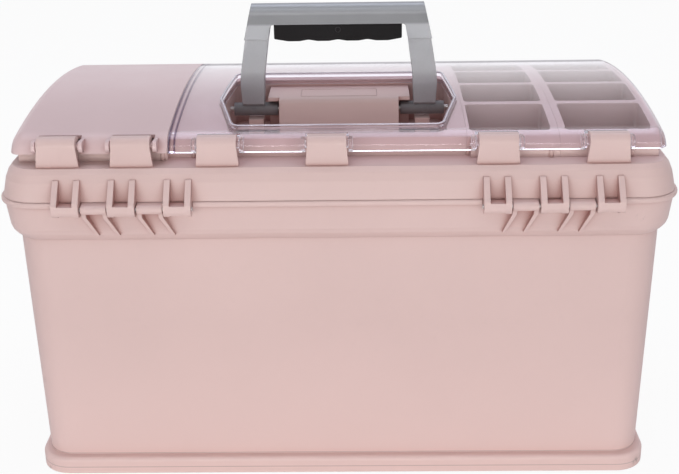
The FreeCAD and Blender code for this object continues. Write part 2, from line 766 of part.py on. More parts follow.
def make_shelf(label, level):
    """A shelf between two drawers, with guide ribs on top and a stop lip below its front."""
    body = new_body(label)
    low = d.bay_floor_z + BAY_PITCH * level - d.shelf
    front = case_front(low) - 0.6
    wide = d.bay_x - 0.3
    door = d.doorway_x - 0.3
    back = d.bay_back_y - 0.3
    step = -(d.bay_front_y - 0.3)
    plan = new_sketch(body, "XY", low)
    rounding = BAY_ROUND - 0.3
    outline(plan, [(-door, -front), (door, -front), (door, step), (wide, step, rounding),
                   (wide, back, rounding), (-wide, back, rounding), (-wide, step, rounding),
                   (-door, step)])
    pad(body, plan, d.shelf)
    rib = d.doorway_x - d.slide_gap
    for side in (1, -1):
        x0, x1 = (rib, rib + 2.4) if side > 0 else (-(rib + 2.4), -rib)
        block(body, x0, x1, -(d.bay_front_y - 6), d.bay_back_y - 8, low + d.shelf - 0.5,
              low + d.shelf + 6)
    block(body, -(d.doorway_x - 4), d.doorway_x - 4, -(d.stop_lip_y + 3), -d.stop_lip_y,
          low - d.stop_lip, low + 0.5)
    return body


def make_hinge_pin(label, side):
    """The pin that runs through one set of knuckles."""
    first = d.hinge_first_x - d.rib_pair / 2 - d.rib / 2 - 0.8
    last = d.hinge_first_x + d.hinge_pitch * 2 + d.rib_pair / 2 + d.rib / 2 + 0.8
    body = new_body(label)
    x0, x1 = (first, last) if side > 0 else (-last, -first)
    cylinder_x(body, d.axis_y, d.axis_z, d.hinge_pin, x0, x1)
    return body


# Drawers

def make_drawer(label, level):
    """One drawer: tray, sloping front with a finger pull, and two stop tabs."""
    body = new_body(label)
    low = d.bay_floor_z + BAY_PITCH * level + 0.3
    top = low + BAY_PITCH - d.shelf - 1.2
    half = d.doorway_x - d.drawer_gap
    panel = d.doorway_x - d.slide_gap
    back = d.bay_back_y - 2.4
    inner_front = case_front(low) - d.front_wall
    rise = low + BAY_PITCH - d.shelf - d.drawer_headroom
    block(body, -half, half, -(inner_front + 1), back, low, rise, d.drawer_round)
    slab_x(body, [(-case_front(low) + 0.3, low), (-case_front(top) + 0.3, top),
                  (-case_front(top) + d.front_wall, top),
                  (-case_front(low) + d.front_wall, low)], -panel, panel)
    floor = low + d.drawer_wall
    lanes = {0: 1, 1: 2, 2: 2}[level]
    inside = half - d.drawer_wall
    span = (back - d.drawer_wall + case_front(low) - d.front_wall - d.drawer_wall) / lanes
    for lane in range(lanes):
        y0 = -(case_front(low) - d.front_wall - d.drawer_wall) + span * lane
        y1 = y0 + span
        if lane > 0:
            y0 = y0 + d.drawer_wall / 2
        if lane < lanes - 1:
            y1 = y1 - d.drawer_wall / 2
        block(body, -inside, inside, y0, y1, floor, rise, d.drawer_round, cut=True)
    for side in (1, -1):
        x0, x1 = (half - d.drawer_wall, half) if side > 0 else (-half, d.drawer_wall - half)
        block(body, x0, x1, d.stop_tab_y, d.stop_tab_y + 6, rise - 1, rise + d.stop_tab)
    face = case_front(low + 30)
    slab_x(body, [(-(face - 1.5), low + 33), (-(face + d.pull_reach - 2), low + 34.5, 1.5),
                  (-(face + d.pull_reach), low + 24, 1.2),
                  (-(face + d.pull_reach - 3), low + 24, 1.2),
                  (-(face + d.pull_reach - 4.5), low + 31.2, 1.0), (-(face - 1.5), low + 29.8)],
           -d.pull_x, d.pull_x)
    return body


def make_dividers(label, level):
    """Removable cross dividers of one drawer, as a group of separate plates."""
    low = d.bay_floor_z + BAY_PITCH * level + 0.3
    floor = low + d.drawer_wall
    back = d.bay_back_y - 2.4
    lanes = {0: 1, 1: 2, 2: 2}[level]
    cells = {0: 3, 1: 3, 2: 4}[level]
    half = d.doorway_x - d.drawer_gap - d.drawer_wall
    rise = BAY_PITCH - d.shelf - d.drawer_headroom
    start = -(case_front(low) - d.front_wall - d.drawer_wall)
    span = (back - d.drawer_wall - start) / lanes
    pitch = 2 * half / cells
    plates = []
    for lane in range(lanes):
        y0 = start + span * lane + 0.3
        y1 = start + span * (lane + 1) - 0.3
        if lane > 0:
            y0 = y0 + d.drawer_wall / 2
        if lane < lanes - 1:
            y1 = y1 - d.drawer_wall / 2
        for cell in range(1, cells):
            plate = doc.addObject("Part::Box", "%s_plate" % label)
            plate.setExpression("Length", d.divider.text)
            plate.setExpression("Width", (y1 - y0).text)
            plate.setExpression("Height", (rise - d.drawer_wall - 2).text)
            plate.setExpression("Placement.Base.x", (pitch * cell - half - d.divider / 2).text)
            plate.setExpression("Placement.Base.y", y0.text)
            plate.setExpression("Placement.Base.z", (floor + 0.1).text)
            plates.append(plate)
    group = doc.addObject("Part::Compound", label)
    group.Label = label
    group.Links = plates
    return group


# Inserts of the main lid: cup trays, handle well and the tray under the solid lid

def new_insert(label, x0, x1):
    """A block under the vault between x0 and x1, seated in the main lid's ledge."""
    body = new_body(label)
    section = new_sketch(body, "YZ", x0)
    vault_outline(section, d.tray_y, d.tray_drop, d.shoulder - 5, d.tray_floor_z - d.tray_floor)
    pad(body, section, x1 - x0)
    return body


def make_cup_tray(label, x0, x1, cup_x0, cup_x1):
    """A column of four cups."""
    body = new_insert(label, x0, x1)
    for row in range(4):
        y0 = d.cup_pitch * row - d.cup_front_y + (d.cup_bar_y / 2 if row else 0)
        y1 = d.cup_pitch * (row + 1) - d.cup_front_y - (d.cup_bar_y / 2 if row < 3 else 0)
        block(body, cup_x0, cup_x1, y0, y1, d.tray_floor_z, d.crown_z, d.cup_round, cut=True)
    return body


def make_cup_tray_inner():
    body = make_cup_tray("cup_tray_inner", -d.cup_bar_x, -d.cup_edge_x,
                         d.cup_bar / 2 - d.cup_bar_x, -d.cup_in_x)
    block(body, -d.cup_in_x, 1 - d.cup_edge_x, d.tray_mid_y, d.tray_y + 1,
          d.ledge_z - 20, d.crown_z, cut=True)
    return body


def make_cup_tray_outer():
    return make_cup_tray("cup_tray_outer", -d.tray_x, -(d.cup_bar_x + d.seam),
                         -d.cup_out_x, -(d.cup_bar_x + d.cup_bar / 2))


def make_solid_lid_tray():
    body = new_insert("solid_lid_tray", d.box_edge_x, d.tray_x)
    block(body, d.box_in_x, d.tray_x - d.tray_wall, 7 - d.tray_y, d.tray_y - 7,
          d.tray_floor_z, d.crown_z, d.cup_round, cut=True)
    return body


def make_handle_well():
    """Well for the folded handle with its bridge, finger scoop and pivot posts."""
    x0 = -(d.cup_edge_x - d.seam)
    x1 = d.box_edge_x - d.seam
    body = new_insert("handle_well", x0, x1)
    block(body, x0 - 1, x1 + 1, d.tray_mid_y, d.tray_y + 1, d.ledge_z - 20, d.crown_z, cut=True)
    side = d.gate_side_x + d.well_play + 3
    low = d.tray_floor_z - d.tray_floor
    block(body, side + 2, x1 - d.wall, -(d.tray_mid_y - 4), d.tray_mid_y - 14,
          low, d.bridge_z - 11, d.well_round, cut=True)
    block(body, x0 + d.wall, side, -(d.tray_mid_y - 4), -(d.gate_front_y + 8),
          low, d.bridge_z - 8, d.well_round, cut=True)
    plan = new_sketch(body, "XY", d.well_floor_z)
    outline(plan, gate_corners(d.well_play))
    pocket(body, plan, 60, reverse=True)
    front = -(d.gate_front_y + d.well_play + 1)
    sunk = d.well_floor_z - 1
    under = d.bridge_z - d.bridge_plate
    slab_x(body, [(front, sunk), (front, d.bridge_z), (d.scoop_top_y, d.bridge_z, 5.0),
                  (d.scoop_low_y, d.well_floor_z + 1.5, 6.0), (d.scoop_low_y + 8, sunk)],
           -d.scoop_x, d.scoop_x)
    slab_x(body, [(front, sunk), (front, d.bridge_z), (d.bridge_plate_y, d.bridge_z),
                  (d.bridge_plate_y, under), (-(d.barrel + 0.8), under),
                  (-(d.barrel + 0.8), sunk)], -d.bridge_x, d.bridge_x)
    post = (d.arm_in_x + 1.4, d.arm_out_x - 5.6)
    for post_x0, post_x1 in (post, (-post[1], -post[0])):
        block(body, post_x0, post_x1, -8.0, 8.0, sunk, d.pivot_z - d.arm_y - 0.5)
    seat = d.barrel_out_x + d.well_play + d.pin_seat
    inner = d.scoop_x - d.pin_seat
    for seat_x0, seat_x1 in ((inner, seat), (-seat, -inner)):
        cylinder_x(body, 0, d.pivot_z, d.pivot_pin + 0.02, seat_x0, seat_x1, cut=True)
    return body


# Main lid

def raise_hooks(body):
    """C-shaped hooks on the ledge that the rods of the top lids snap into."""
    back = d.rod_y + d.rod + d.rod_play + 4.2
    top = d.rod_z + 7.2
    plates = new_sketch(body, "XZ", -back)
    heads = new_sketch(body, "XZ", -back)
    for x in SOLID_HOOKS + CLEAR_HOOKS:
        outline(plates, [(x - d.hook_low, d.ledge_z - 1), (x + d.hook_low, d.ledge_z - 1),
                         (x + d.hook_high, top - 7), (x - d.hook_high, top - 7)])
        box_outline(heads, x - d.hook_high, x + d.hook_high, top - 10, top)
    pad(body, plates, d.hook)
    pad(body, heads, back - d.rod_y + 7)
    round_edges(body, 5.8, lambda edge, p: near(p.z, top) and edge.Length > 20
                and p.y > d.rod_y.value - 8)
    cylinder_x(body, d.rod_y, d.rod_z, d.rod + d.rod_play, -d.tray_x, d.tray_x, cut=True)
    slab_x(body, [(d.rod_y - 7.8, d.rod_z - 6), (d.rod_y + 3, d.rod_z - 6),
                  (d.rod_y + 2.9, d.rod_z - 0.8), (d.rod_y - 2.7, d.rod_z + 1.5),
                  (d.rod_y - 7.8, d.rod_z + 3.4)], -d.tray_x, d.tray_x, cut=True)


def raise_hinge_ribs(body):
    """Pairs of ribs down the back wall with a knuckle between them, bored for the pin."""
    far = d.hinge_first_x + d.hinge_pitch * 2 + d.rib_pair / 2 + d.rib / 2
    profile = new_sketch(body, "YZ", 0)
    outline(profile, [(d.ledge_y + 3.4, d.rib_top_z), (d.ledge_y + 6.0, d.rib_top_z, 1.0),
                      (d.axis_y + d.rib_round, d.axis_z + 4.5, 4.0),
                      (d.axis_y + d.rib_round, d.axis_z - d.rib_round, d.rib_round - 0.2),
                      (d.axis_y - 3.2, d.axis_z - d.rib_round, 2.4),
                      (d.axis_y - 3.2, d.rim_z + d.lid_gap + 0.3),
                      (d.lid_low_y - 2.2, d.rim_z + d.lid_gap + 0.3)])
    pad(body, profile, far * 2, both=True)
    gaps = new_sketch(body, "XZ", -(d.axis_y + 10))
    half = d.rib_pair / 2 + d.rib / 2
    first = d.hinge_first_x - half
    box_outline(gaps, -first, first, d.axis_z - 10, d.rib_top_z + 3)
    for x in knuckle_places():
        reach = KNUCKLE_HALF + d.knuckle_gap
        box_outline(gaps, x - reach, x + reach, d.axis_z - 10, d.rib_top_z + 3)
    for x in hinge_pairs():
        reach = (d.rib_pair - d.rib) / 2
        box_outline(gaps, x - reach, x + reach, d.axis_z + d.lid_knuckle, d.rib_top_z + 3)
        box_outline(gaps, x - reach, x + reach, d.axis_z - 10, d.axis_z - d.lid_knuckle)
    pocket(body, gaps, 40, reverse=True)
    cylinder_x(body, d.axis_y, d.axis_z, d.hinge_pin + d.pin_play, -d.bead_x, d.bead_x, cut=True)


def raise_latch_ears(body):
    """Two ears for each front latch, bored for its pin."""
    inner = d.latch_half + 0.5
    far = d.latch_x + inner + d.ear
    profile = new_sketch(body, "YZ", 0)
    outline(profile, [(-(d.ledge_y + 1.6), d.latch_axis_z + 4.5),
                      (-(d.lid_mid_y - 0.8), d.latch_axis_z - 5.5),
                      (-(d.latch_axis_y - 2), d.latch_axis_z - 4.6, 2.0),
                      (-(d.latch_axis_y + 3.6), d.latch_axis_z - 3.6, 3.4),
                      (-(d.latch_axis_y + 3.6), d.latch_axis_z + 3.6, 3.4)])
    pad(body, profile, far * 2, both=True)
    gaps = new_sketch(body, "XZ", d.ledge_y - 5)
    first = d.latch_x - inner - d.ear
    low, high = d.latch_axis_z - 10, d.latch_axis_z + 10
    box_outline(gaps, -first, first, low, high)
    for side in (1, -1):
        box_outline(gaps, d.latch_x * side - inner, d.latch_x * side + inner, low, high)
    pocket(body, gaps, 40, reverse=True)
    cylinder_x(body, -d.latch_axis_y, d.latch_axis_z, d.latch_pin + 0.02, -d.bead_x, d.bead_x,
               cut=True)


def lid_wall(body):
    """Outer wall of the main lid as a ring, and the ledge that joins it to the block."""
    rings = []
    for z, half_x, half_y, rounding in (
            (d.rim_z + d.lid_gap, d.lid_low_x, d.lid_low_y, d.lid_low_round),
            (d.lid_mid_z, d.lid_mid_x, d.lid_mid_y, d.lid_mid_round),
            (d.lid_high_z, d.lid_high_x, d.lid_high_y, d.lid_high_round),
            (d.ledge_z, d.ledge_x, d.ledge_y, d.ledge_round)):
        sketch = new_sketch(body, "XY", z)
        plate_outline(sketch, half_x, half_y, rounding)
        plate_outline(sketch, half_x - d.wall, half_y - d.wall, rounding - d.wall)
        rings.append(sketch)
    doc.recompute()
    ring = body.newObject("PartDesign::AdditiveLoft", "main_lid_wall")
    ring.Profile = rings[0]
    ring.Sections = rings[1:]
    ring.Ruled = True
    doc.recompute()
    ledge = new_sketch(body, "XY", d.ledge_z - d.ledge)
    plate_outline(ledge, d.ledge_x - 1.2, d.ledge_y - 1.2, d.ledge_round - 1.2)
    side, back, middle = d.tray_x + d.seam, d.tray_y + d.seam, d.tray_mid_y + d.seam
    outline(ledge, [(-side, -back), (side, -back), (side, back), (d.box_edge_x, back),
                    (d.box_edge_x, middle), (-d.cup_in_x, middle), (-d.cup_in_x, back),
                    (-side, back)])
    pad(body, ledge, d.ledge)


def make_main_lid():
    """Frame of the lid: curved wall, ledge, hinge ribs, latch ears and hooks."""
    body = new_body("main_lid")
    body.AllowCompound = True
    raise_hinge_ribs(body)
    raise_latch_ears(body)
    raise_hooks(body)
    lid_wall(body)
    return body


# Top lids

def hollow(body, split, outer):
    """Hollow the lid through its underside and the side at the split, leaving an end wall."""
    for inset, end_wall in ((d.top_wall, d.top_wall + d.end_step),
                            (d.top_wall + d.end_drop, d.top_wall)):
        end = (d.top_x - end_wall) * outer
        sketch = new_sketch(body, "YZ", end)
        vault_outline(sketch, d.vault_y - inset, inset, d.shoulder - inset, d.top_low_z - 3)
        pocket(body, sketch, (end - split) * outer, reverse=outer < 0)


def round_end(body, outer):
    """Fillet where the roof and the walls meet the lid's outer end."""
    round_edges(body, d.top_round, lambda edge, p: near(p.x, d.top_x * outer)
                and p.z > d.top_low_z.value + 0.5)


def stiffen_split(body, split, outer):
    """Rib under the roof along the edge where the two top lids meet."""
    start = split if outer > 0 else split - d.edge_rib_x
    for drop, low, cut in ((1.0, d.top_low_z, False), (d.top_wall + d.edge_rib,
                                                       d.top_low_z - 3, True)):
        sketch = new_sketch(body, "YZ", start)
        vault_outline(sketch, d.vault_y - drop, drop, d.shoulder - drop, low)
        if cut:
            pocket(body, sketch, d.edge_rib_x, reverse=True)
        else:
            pad(body, sketch, d.edge_rib_x)


def add_snap_rods(body, hooks):
    """Notches round the hooks, each with a rod between two lugs."""
    notches = new_sketch(body, "XY", d.top_low_z - 2)
    reach = d.hook_high + d.notch_play
    for x in hooks:
        box_outline(notches, x - reach, x + reach, d.notch_y, d.vault_y + 3)
    pocket(body, notches, 40, reverse=True)
    for x in hooks:
        for start in (x - reach - d.lug, x + reach):
            slab_x(body, [(d.rod_y - 4.2, d.rod_z - 4.4),
                          (d.rod_y + 4.4, d.rod_z - 4.4, d.lug_round),
                          (d.rod_y + 4.4, d.rod_z + 4.4, d.lug_round),
                          (d.rod_y - 10.5, d.rod_z + 3.0)], start, start + d.lug)
        cylinder_x(body, d.rod_y, d.rod_z, d.rod, x - reach - 1, x + reach + 1)


def open_gate(body):
    """Handle opening with a raised lip round its edge."""
    wide = d.gate_side_x + 12
    front, back = -(d.gate_front_y + 8), d.gate_back_y + 5
    lip = new_sketch(body, "XY", d.pivot_z + 4)
    outline(lip, gate_corners(d.gate_lip))
    outline(lip, gate_corners(0.3))
    pad(body, lip, d.crown_z + 3 - d.pivot_z - 4)
    above = new_sketch(body, "YZ", 0)
    crown_outline(above, d.gate_lip_rise, front, back, d.crown_z + 12)
    pocket(body, above, wide * 2, both=True)
    below = new_sketch(body, "YZ", 0)
    crown_outline(below, -d.gate_flange, front, back, d.pivot_z)
    pocket(body, below, wide * 2, both=True)
    hole = new_sketch(body, "XY", d.pivot_z)
    outline(hole, gate_corners(0.3))
    pocket(body, hole, 40, reverse=True)


def make_top_lid(label, x0, x1, outer, hooks):
    """Vaulted lid between x0 and x1, closed at its outer end, with finger tab and snap rods."""
    body = new_body(label)
    section = new_sketch(body, "YZ", x0)
    vault_outline(section, d.vault_y, 0, d.shoulder, d.top_low_z)
    pad(body, section, x1 - x0)
    split = x0 if outer > 0 else x1
    round_end(body, outer)
    hollow(body, split, outer)
    stiffen_split(body, split, outer)
    add_snap_rods(body, hooks)
    middle = (x0 + x1) / 2
    block(body, middle - 20, middle + 20, -(d.vault_y + 5.5), -(d.vault_y - 2.6),
          d.top_low_z, d.top_low_z + 2.4)
    return body


def make_solid_top_lid():
    return make_top_lid("solid_top_lid", d.split_x + d.split_gap / 2, d.top_x, 1, SOLID_HOOKS)


def make_clear_top_lid():
    body = make_top_lid("clear_top_lid", -d.top_x, d.split_x - d.split_gap / 2, -1, CLEAR_HOOKS)
    open_gate(body)
    return body


# Handle

def arch(sketch, right, inside):
    """Outline of an arch that is open at the foot, from the corners of its right half."""
    left = [(-corner[0],) + tuple(corner[1:]) for corner in reversed(right)]
    inner_left = [(-corner[0],) + tuple(corner[1:]) for corner in reversed(inside)]
    outline(sketch, right + left + inner_left + inside)


def make_handle_bail():
    """Bowed arms and a round-topped bar; the arms end in saddles on the barrels."""
    body = new_body("handle_bail")
    foot_z = d.pivot_z + 3.0
    arms = new_sketch(body, "XZ", 0)
    arch(arms, [(d.arm_out_x - 1.0, foot_z), (d.arm_out_x + 0.3, d.pivot_z + 26, 70.0),
                (d.arm_out_x - 5.2, d.step_z, 70.0), (d.arm_top_x, d.bar_top_z - 4, 3.0)],
         [(d.arm_grip_x, d.bar_low_z, 3.0), (d.arm_in_x - 0.6, d.pivot_z + 28, 70.0),
          (d.arm_in_x + 0.4, foot_z)])
    pad(body, arms, d.arm_y * 2, both=True)
    bar = new_sketch(body, "XZ", -d.bar_back_y)
    arch(bar, [(d.arm_out_x - 4.6, d.step_z), (d.arm_top_x + 0.6, d.bar_top_z)],
         [(d.arm_grip_x - 0.6, d.bar_low_z, 3.0), (d.arm_grip_x + 1.4, d.step_z)])
    pad(body, bar, d.bar_front_y + d.bar_back_y)
    round_edges(body, d.bar_round, lambda edge, p: near(p.z, d.bar_top_z) and edge.Length > 80)
    for side in (1, -1):
        slab_x(body, [(3.9 * side, foot_z - 1), ((d.arm_y + 1) * side, foot_z - 1),
                      ((d.arm_y + 1) * side, d.pivot_z + 6.7), (3.9 * side, foot_z + 0.4)],
               -(d.arm_out_x + 2), d.arm_out_x + 2, cut=True)
    cylinder_x(body, 0, d.pivot_z, d.barrel + 0.02, -d.barrel_out_x, d.barrel_out_x, cut=True)
    return body


def make_handle_grip():
    """Soft grip under the bar, with finger waves along its lower edge."""
    body = new_body("handle_grip")
    top = d.bar_low_z - 0.02
    waves = 4
    pitch = 2 * (d.grip_x - 4) / waves
    corners = [(-d.grip_x, top), (-d.grip_x, d.grip_low_z + 1.9, 1.2),
               (4 - d.grip_x, d.grip_low_z + 1.2, 3.0)]
    for wave in range(waves):
        start = 4 - d.grip_x + pitch * wave
        corners.append((start + pitch * 0.3, d.grip_low_z, 9.0))
        corners.append((start + pitch * 0.7, d.grip_low_z, 9.0))
        if wave < waves - 1:
            corners.append((start + pitch, d.grip_low_z + 1.2, 9.0))
    corners += [(d.grip_x - 4, d.grip_low_z + 1.2, 3.0), (d.grip_x, d.grip_low_z + 1.9, 1.2),
                (d.grip_x, top)]
    sketch = new_sketch(body, "XZ", 0)
    outline(sketch, corners)
    pad(body, sketch, d.grip_y * 2, both=True)
    return body


def make_pivot_barrel(label, side):
    body = new_body(label)
    x0, x1 = (d.barrel_in_x, d.barrel_out_x) if side > 0 else (-d.barrel_out_x, -d.barrel_in_x)
    cylinder_x(body, 0, d.pivot_z, d.barrel, x0, x1)
    cylinder_x(body, 0, d.pivot_z, d.pivot_pin + d.pin_play, x0, x1, cut=True)
    return body


def make_handle_pin(label, side):
    body = new_body(label)
    inner = d.scoop_x - d.pin_seat + 0.2
    far = d.barrel_out_x + d.well_play + d.pin_seat - 0.2
    x0, x1 = (inner, far) if side > 0 else (-far, -inner)
    cylinder_x(body, 0, d.pivot_z, d.pivot_pin, x0, x1)
    return body


# Front latches

def make_latch(label, side):
    """Latch plate that hangs in front of the rim, with a nose and a finger edge."""
    body = new_body(label)
    x0, x1 = d.latch_x * side - d.latch_half, d.latch_x * side + d.latch_half
    face = -(d.axis_y + d.rib_round)
    back = face + d.latch_plate
    nose = -(d.bead_y + d.latch_play)
    slab_x(body, [(face, d.latch_axis_z + 1.5, 2.0), (face, d.latch_low_z, 1.2),
                  (back + 0.6, d.latch_low_z, 1.2), (back, d.latch_low_z + 6),
                  (nose, d.bead_z - 6.4, 0.8), (nose, d.bead_z - 1.6, 0.8),
                  (back, d.bead_z - 0.4), (back, d.latch_axis_z + 1.5)], x0, x1)
    cylinder_x(body, -d.latch_axis_y, d.latch_axis_z, d.latch_barrel, x0, x1)
    cylinder_x(body, -d.latch_axis_y, d.latch_axis_z, d.latch_pin + d.pin_play, x0, x1, cut=True)
    return body


def make_latch_pin(label, side):
    body = new_body(label)
    reach = d.latch_half + 0.5 + d.ear - 0.2
    cylinder_x(body, -d.latch_axis_y, d.latch_axis_z, d.latch_pin,
               d.latch_x * side - reach, d.latch_x * side + reach)
    return body


# Build, check and write

def build():
    nodes = [make_base_cabinet(), make_shelf("drawer_shelf_lower", 1),
             make_shelf("drawer_shelf_upper", 2), make_main_lid(), make_cup_tray_inner(),
             make_cup_tray_outer(), make_handle_well(), make_solid_lid_tray(),
             make_solid_top_lid(), make_clear_top_lid(), make_handle_bail(), make_handle_grip()]
    for name, side in SIDES:
        nodes.append(make_hinge_pin("hinge_pin_" + name, side))
        nodes.append(make_pivot_barrel("pivot_barrel_" + name, side))
        nodes.append(make_handle_pin("handle_pin_" + name, side))
        nodes.append(make_latch("latch_" + name, side))
        nodes.append(make_latch_pin("latch_pin_" + name, side))
    for level, name in enumerate(LEVELS):
        nodes.append(make_drawer("drawer_" + name, level))
        nodes.append(make_dividers("%s_drawer_dividers" % name, level))
    return nodes


def write(nodes):
    for thing in doc.Objects:
        if "Invalid" in thing.State or "Error" in thing.State:
            raise RuntimeError("%s failed: %s" % (thing.Name, thing.State))
    os.makedirs("parts", exist_ok=True)
    for node in nodes:
        shape = node.Shape
        if shape.isNull() or not shape.isValid():
            raise RuntimeError("bad shape in " + node.Label)
        shape.exportStep("parts/%s.step" % node.Label)
        box = shape.BoundBox
        print("%-24s solids %d  x %.1f..%.1f  y %.1f..%.1f  z %.1f..%.1f" % (
            node.Label, len(shape.Solids), box.XMin, box.XMax, box.YMin, box.YMax,
            box.ZMin, box.ZMax))


parts = build()
doc.recompute()
write(parts)
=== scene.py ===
import math

import bpy
from mathutils import Matrix, Vector


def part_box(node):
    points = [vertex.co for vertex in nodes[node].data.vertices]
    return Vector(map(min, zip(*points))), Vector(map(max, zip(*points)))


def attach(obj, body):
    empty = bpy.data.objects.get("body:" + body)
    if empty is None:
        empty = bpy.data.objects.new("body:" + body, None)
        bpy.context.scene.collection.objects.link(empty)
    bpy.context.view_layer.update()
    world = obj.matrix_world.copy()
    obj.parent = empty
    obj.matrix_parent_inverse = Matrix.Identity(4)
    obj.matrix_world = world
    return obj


# Looks of the three-drawer organizer: satin pink plastic, a clear lid, a grey handle.
# Places are metres in the part's frame: +X to the solid top lid, +Y to the hinges, +Z up.

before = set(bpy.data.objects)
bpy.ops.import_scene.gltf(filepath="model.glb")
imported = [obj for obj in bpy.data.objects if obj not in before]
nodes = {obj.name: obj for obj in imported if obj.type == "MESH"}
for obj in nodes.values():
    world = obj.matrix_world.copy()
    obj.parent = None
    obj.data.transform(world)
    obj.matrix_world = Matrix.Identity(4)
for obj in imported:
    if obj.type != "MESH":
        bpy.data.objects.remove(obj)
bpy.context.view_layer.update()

# Camera: fitted to the rims, corners, handle and foot in the photograph
IMAGE_WIDTH = 679
FOCAL_PX = 1170.0
SENSOR_WIDTH_MM = 36.0
CAMERA_AT = (-0.01574, 0.93291, 0.52643)
PITCH = math.radians(21.97)
YAW = math.radians(1.05)
ROLL = math.radians(-0.88)
SHIFT_PX = 0.35
CLIP_END = 60.0

# Colours, linear
PINK = (0.690, 0.503, 0.474)
LID_PINK = (0.700, 0.520, 0.515)
DRAWER_PINK = (0.715, 0.535, 0.505)
CLEAR = (0.955, 0.930, 0.965)
CLEAR_STRAIGHT = (0.89, 0.86, 0.89)
RIM_LILAC = (0.240, 0.170, 0.260)
# Pale lilac of the painted highlights on the clear lid's edges
HIGHLIGHT_LILAC = (0.860, 0.820, 0.900)
SILVER = (0.356, 0.364, 0.385)
DARK_GREY = (0.180, 0.172, 0.178)
RUBBER = (0.010, 0.009, 0.010)
STEEL = (0.560, 0.550, 0.540)
PALE = (0.760, 0.710, 0.725)
LINE_PINK = (0.500, 0.345, 0.325)
FLOOR_GREYS = ((0.86, 0.86, 0.86), (0.88, 0.88, 0.88))
SKY = (0.965, 0.960, 1.0)

# Optics: the clear lid bends light a little less than real plastic does, and a path with more
# bounces than CLEAR_DEPTH goes straight through it, so that none gets trapped and turns black
MOULDED_IOR = 1.49
CLEAR_IOR = 1.36
CLEAR_DEPTH = 3.5
BEVEL_SAMPLES = 6
PAINTED_SHADE_SAMPLES = 8

# Shares of a plastic's own colour in its clouds, flecks and other marks, and in its painted light
# and shade, and how strong some are
CLOUD_SHARES = (0.975, 1.02)
FLECK_SHARE, FLECK_STRENGTH = 0.86, 0.10
RUBBED_SHARE = 1.16
# Painted light from the floor: the share that makes the low part of the case paler
FLOOR_LIGHT_SHARE = 1.16
LINE_SHARE, LINE_STRENGTH = 0.55, 0.55
SCUFF_SHARE = 0.50
# Painted shade in corners and cups: shares of the colour there, and how strong it gets
PAINTED_SHADE_SHARES, PAINTED_SHADE_STRENGTH = (0.64, 0.43, 0.40), 0.9

# The same for metallic grey: flakes, rubbed edges and the painted shade on the front of the
# handle's bar
FLAKE_SHARES = (0.90, 1.10)
NICK_SHARE, NICK_STRENGTH = 1.45, 0.6
BAR_SHADE_SHARE, BAR_SHADE_STRENGTH = 0.35, 0.70
BAR_TOP_CLEAR = 0.0050

# Middle of the range that noise reaches, for spreading it from 0 to 1
NOISE_SPAN = (0.3, 0.7)

# Scuffs in the photograph, each a place and how far it spreads
SCUFFS = (((-0.2462, 0.1180, 0.2130), 0.0042), ((0.2465, 0.1160, 0.2110), 0.0035),
          ((-0.2200, 0.1380, 0.2195), 0.0040), ((0.2360, 0.1270, 0.0040), 0.0050),
          ((-0.2370, 0.1260, 0.0045), 0.0050))
FOOT_LINES = (0.0055, 0.0142)
FOOT_LINE_HALF = 0.0005
# Height below which the case gets painted light from the floor, paler towards it
FLOOR_LIGHT_HEIGHT = 0.13
SPLIT_X = 0.12375
SPLIT_LINES = (SPLIT_X - 0.0006, SPLIT_X - 0.0046)
SPLIT_LINE_HALF = 0.0010

# Opening of the clear lid: half width and place of each row of corners, and the vault over it
GATE_ROWS = ((0.0840, -0.0270), (0.0900, 0.0460), (0.0770, 0.0980))
GATE_ROUND = 0.0072
GATE_GROW = 0.00125
GATE_SPACING = 0.006
GATE_LINE = 0.00055
VAULT_RADIUS = 0.6180
VAULT_CENTRE_Z = -0.3310
LIP_RISE = 0.0011

# Plain moulded marks: rings on the barrels and the grip, and a frame on the bridge
MARK_LINE = 0.00035
BARREL_MARK_X = 0.070
BARREL_MARK_RADIUS = 0.0025
GRIP_MARK_RADIUS = 0.0020
GRIP_MARK_DROP = 0.0045
FRAME_LINE = 0.0003
FRAME_ROUND = 0.0015
FRAME_CORNERS = ((0.031, -0.018), (0.031, 0.004), (-0.031, 0.004), (-0.031, -0.018))
BRIDGE_TOP_Z = 0.2760

# Small pegs on the back of the inserts: place along the lid, wall behind them, height, reach
PEGS = ((0.1286, 0.1129, 0.2645, 0.0018), (0.1065, 0.1060, 0.2645, 0.0022),
        (-0.0967, 0.1060, 0.2645, 0.0022), (-0.1568, 0.1129, 0.2645, 0.0018),
        (-0.2157, 0.1129, 0.2645, 0.0018))
PEG_RADIUS = 0.0019
PEG_TAPER = 0.94
PEG_HEAD = 0.0014
PEG_SIDES = 20
PEG_LOW_Z = 0.2580

# Studio: a floor that is mostly plain white to the camera, soft surroundings with a brighter low
# backdrop behind the object, and lamps as name, place, aim, width, height, watts and colour
FLOOR_HALF = 8.0
FLOOR_WHITE = 0.92
SKY_LEVEL = 0.46
BACKDROP_GLOW = 0.72
BACKDROP_RISE = (0.16, 0.58)
BACKDROP_BEHIND = (-0.75, -0.15)
LAMPS = (
    ("front", (0.3, 2.3, 0.40), (0.0, 0.0, 0.08), 3.2, 0.8, 12.5, (1.0, 0.99, 0.94)),
    ("low", (0.0, 1.7, 0.06), (0.0, 0.13, 0.0), 2.8, 0.08, 7.0, (1.0, 1.0, 0.98)),
    ("top", (0.0, -0.8, 2.4), (0.0, 0.0, 0.15), 2.0, 1.4, 19.0, (0.82, 0.86, 1.0)),
    ("strip", (0.2, 1.3, 1.9), (0.0, 0.1, 0.25), 2.4, 0.07, 5.0, (0.93, 0.96, 1.0)),
)


# Node helpers

def rgba(colour):
    return tuple(colour) + (1.0,)


def tint(colour, factor):
    return tuple(min(1.0, c * factor) for c in colour)


def painted_shade_colour(colour):
    """Painted shade: the plastic's colour as where light reaches it over other pink faces only.
    """
    return tuple(c * share for c, share in zip(colour, PAINTED_SHADE_SHARES))


